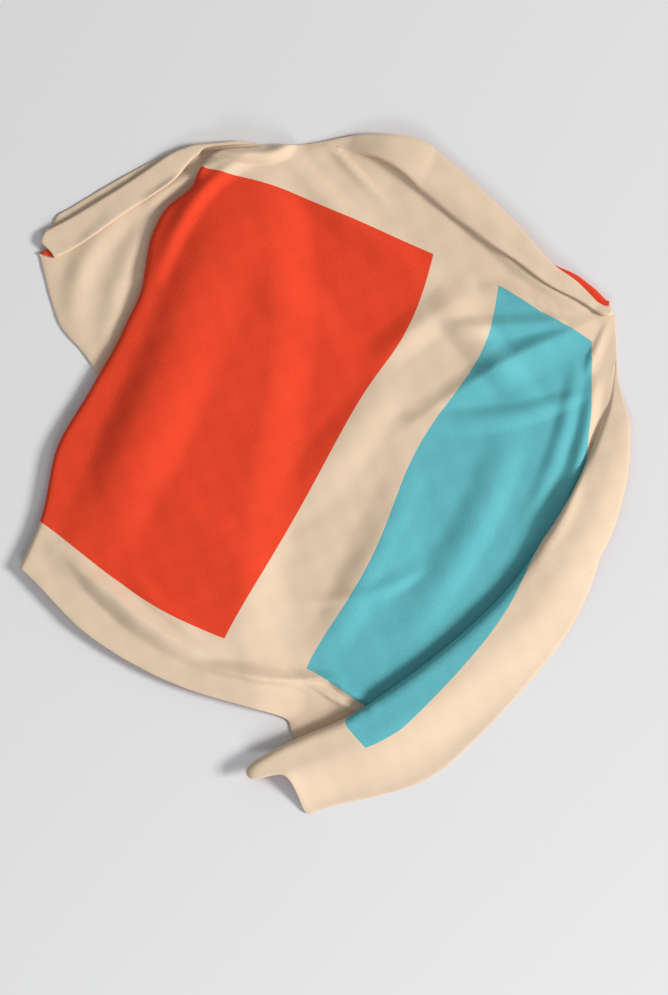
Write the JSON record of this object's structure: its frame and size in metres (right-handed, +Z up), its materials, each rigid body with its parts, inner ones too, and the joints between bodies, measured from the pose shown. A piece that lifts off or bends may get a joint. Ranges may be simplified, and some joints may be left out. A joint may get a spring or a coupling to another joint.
{
  "type": "knit cotton blanket, laid out in gathered folds",
  "caption": "Knitted cotton throw blanket laid out on a surface, gathered at its top and right edges, with a rolled fold down one side.",
  "frame": {"origin": "middle of the underside of the bounding box, on the surface that the blanket lies on", "axes": "+Z up, +Y towards the gathered top edge, +X towards the gathered right edge"},
  "size_m": [1.322, 1.4722, 0.0427],
  "materials": {
    "knit_cotton": "matt knit"
  },
  "bodies": {
    "root": {"blanket": "knit_cotton"}
  },
  "joints": []
}
